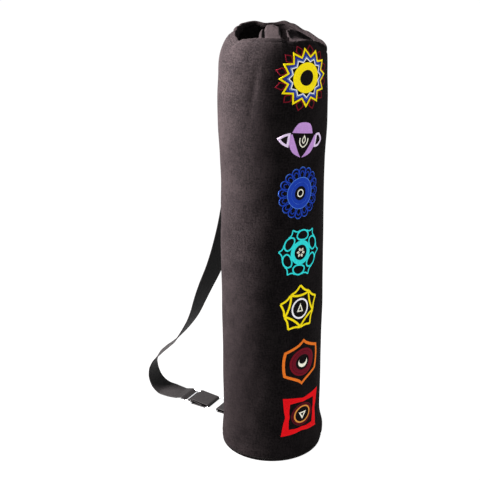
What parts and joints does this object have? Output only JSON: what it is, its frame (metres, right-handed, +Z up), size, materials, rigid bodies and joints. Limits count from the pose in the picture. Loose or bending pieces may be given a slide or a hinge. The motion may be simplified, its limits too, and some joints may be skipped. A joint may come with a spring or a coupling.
{
  "type": "yoga mat bag",
  "caption": "Tall round canvas yoga mat bag with an open folded mouth, a stiff base and a webbing shoulder strap on a metal slider and ring.",
  "frame": {"origin": "middle of the flat base, on the floor", "axes": "+Z up along the bag, -Y towards the embroidered front line, +Y towards the strap at the back"},
  "size_m": [0.1849, 0.351, 0.711],
  "materials": {
    "canvas": "plain woven cotton canvas, matt",
    "webbing": "flat cotton webbing, matt with a slight sheen",
    "chrome": "polished",
    "embroidery": "satin stitch thread with a sheen"
  },
  "bodies": {
    "root": {"bag_body": "canvas", "base_panel": "canvas", "shoulder_strap": "webbing", "ring_tab": "webbing", "strap_ring": "chrome", "strap_slider": "chrome"}
  },
  "joints": []
}
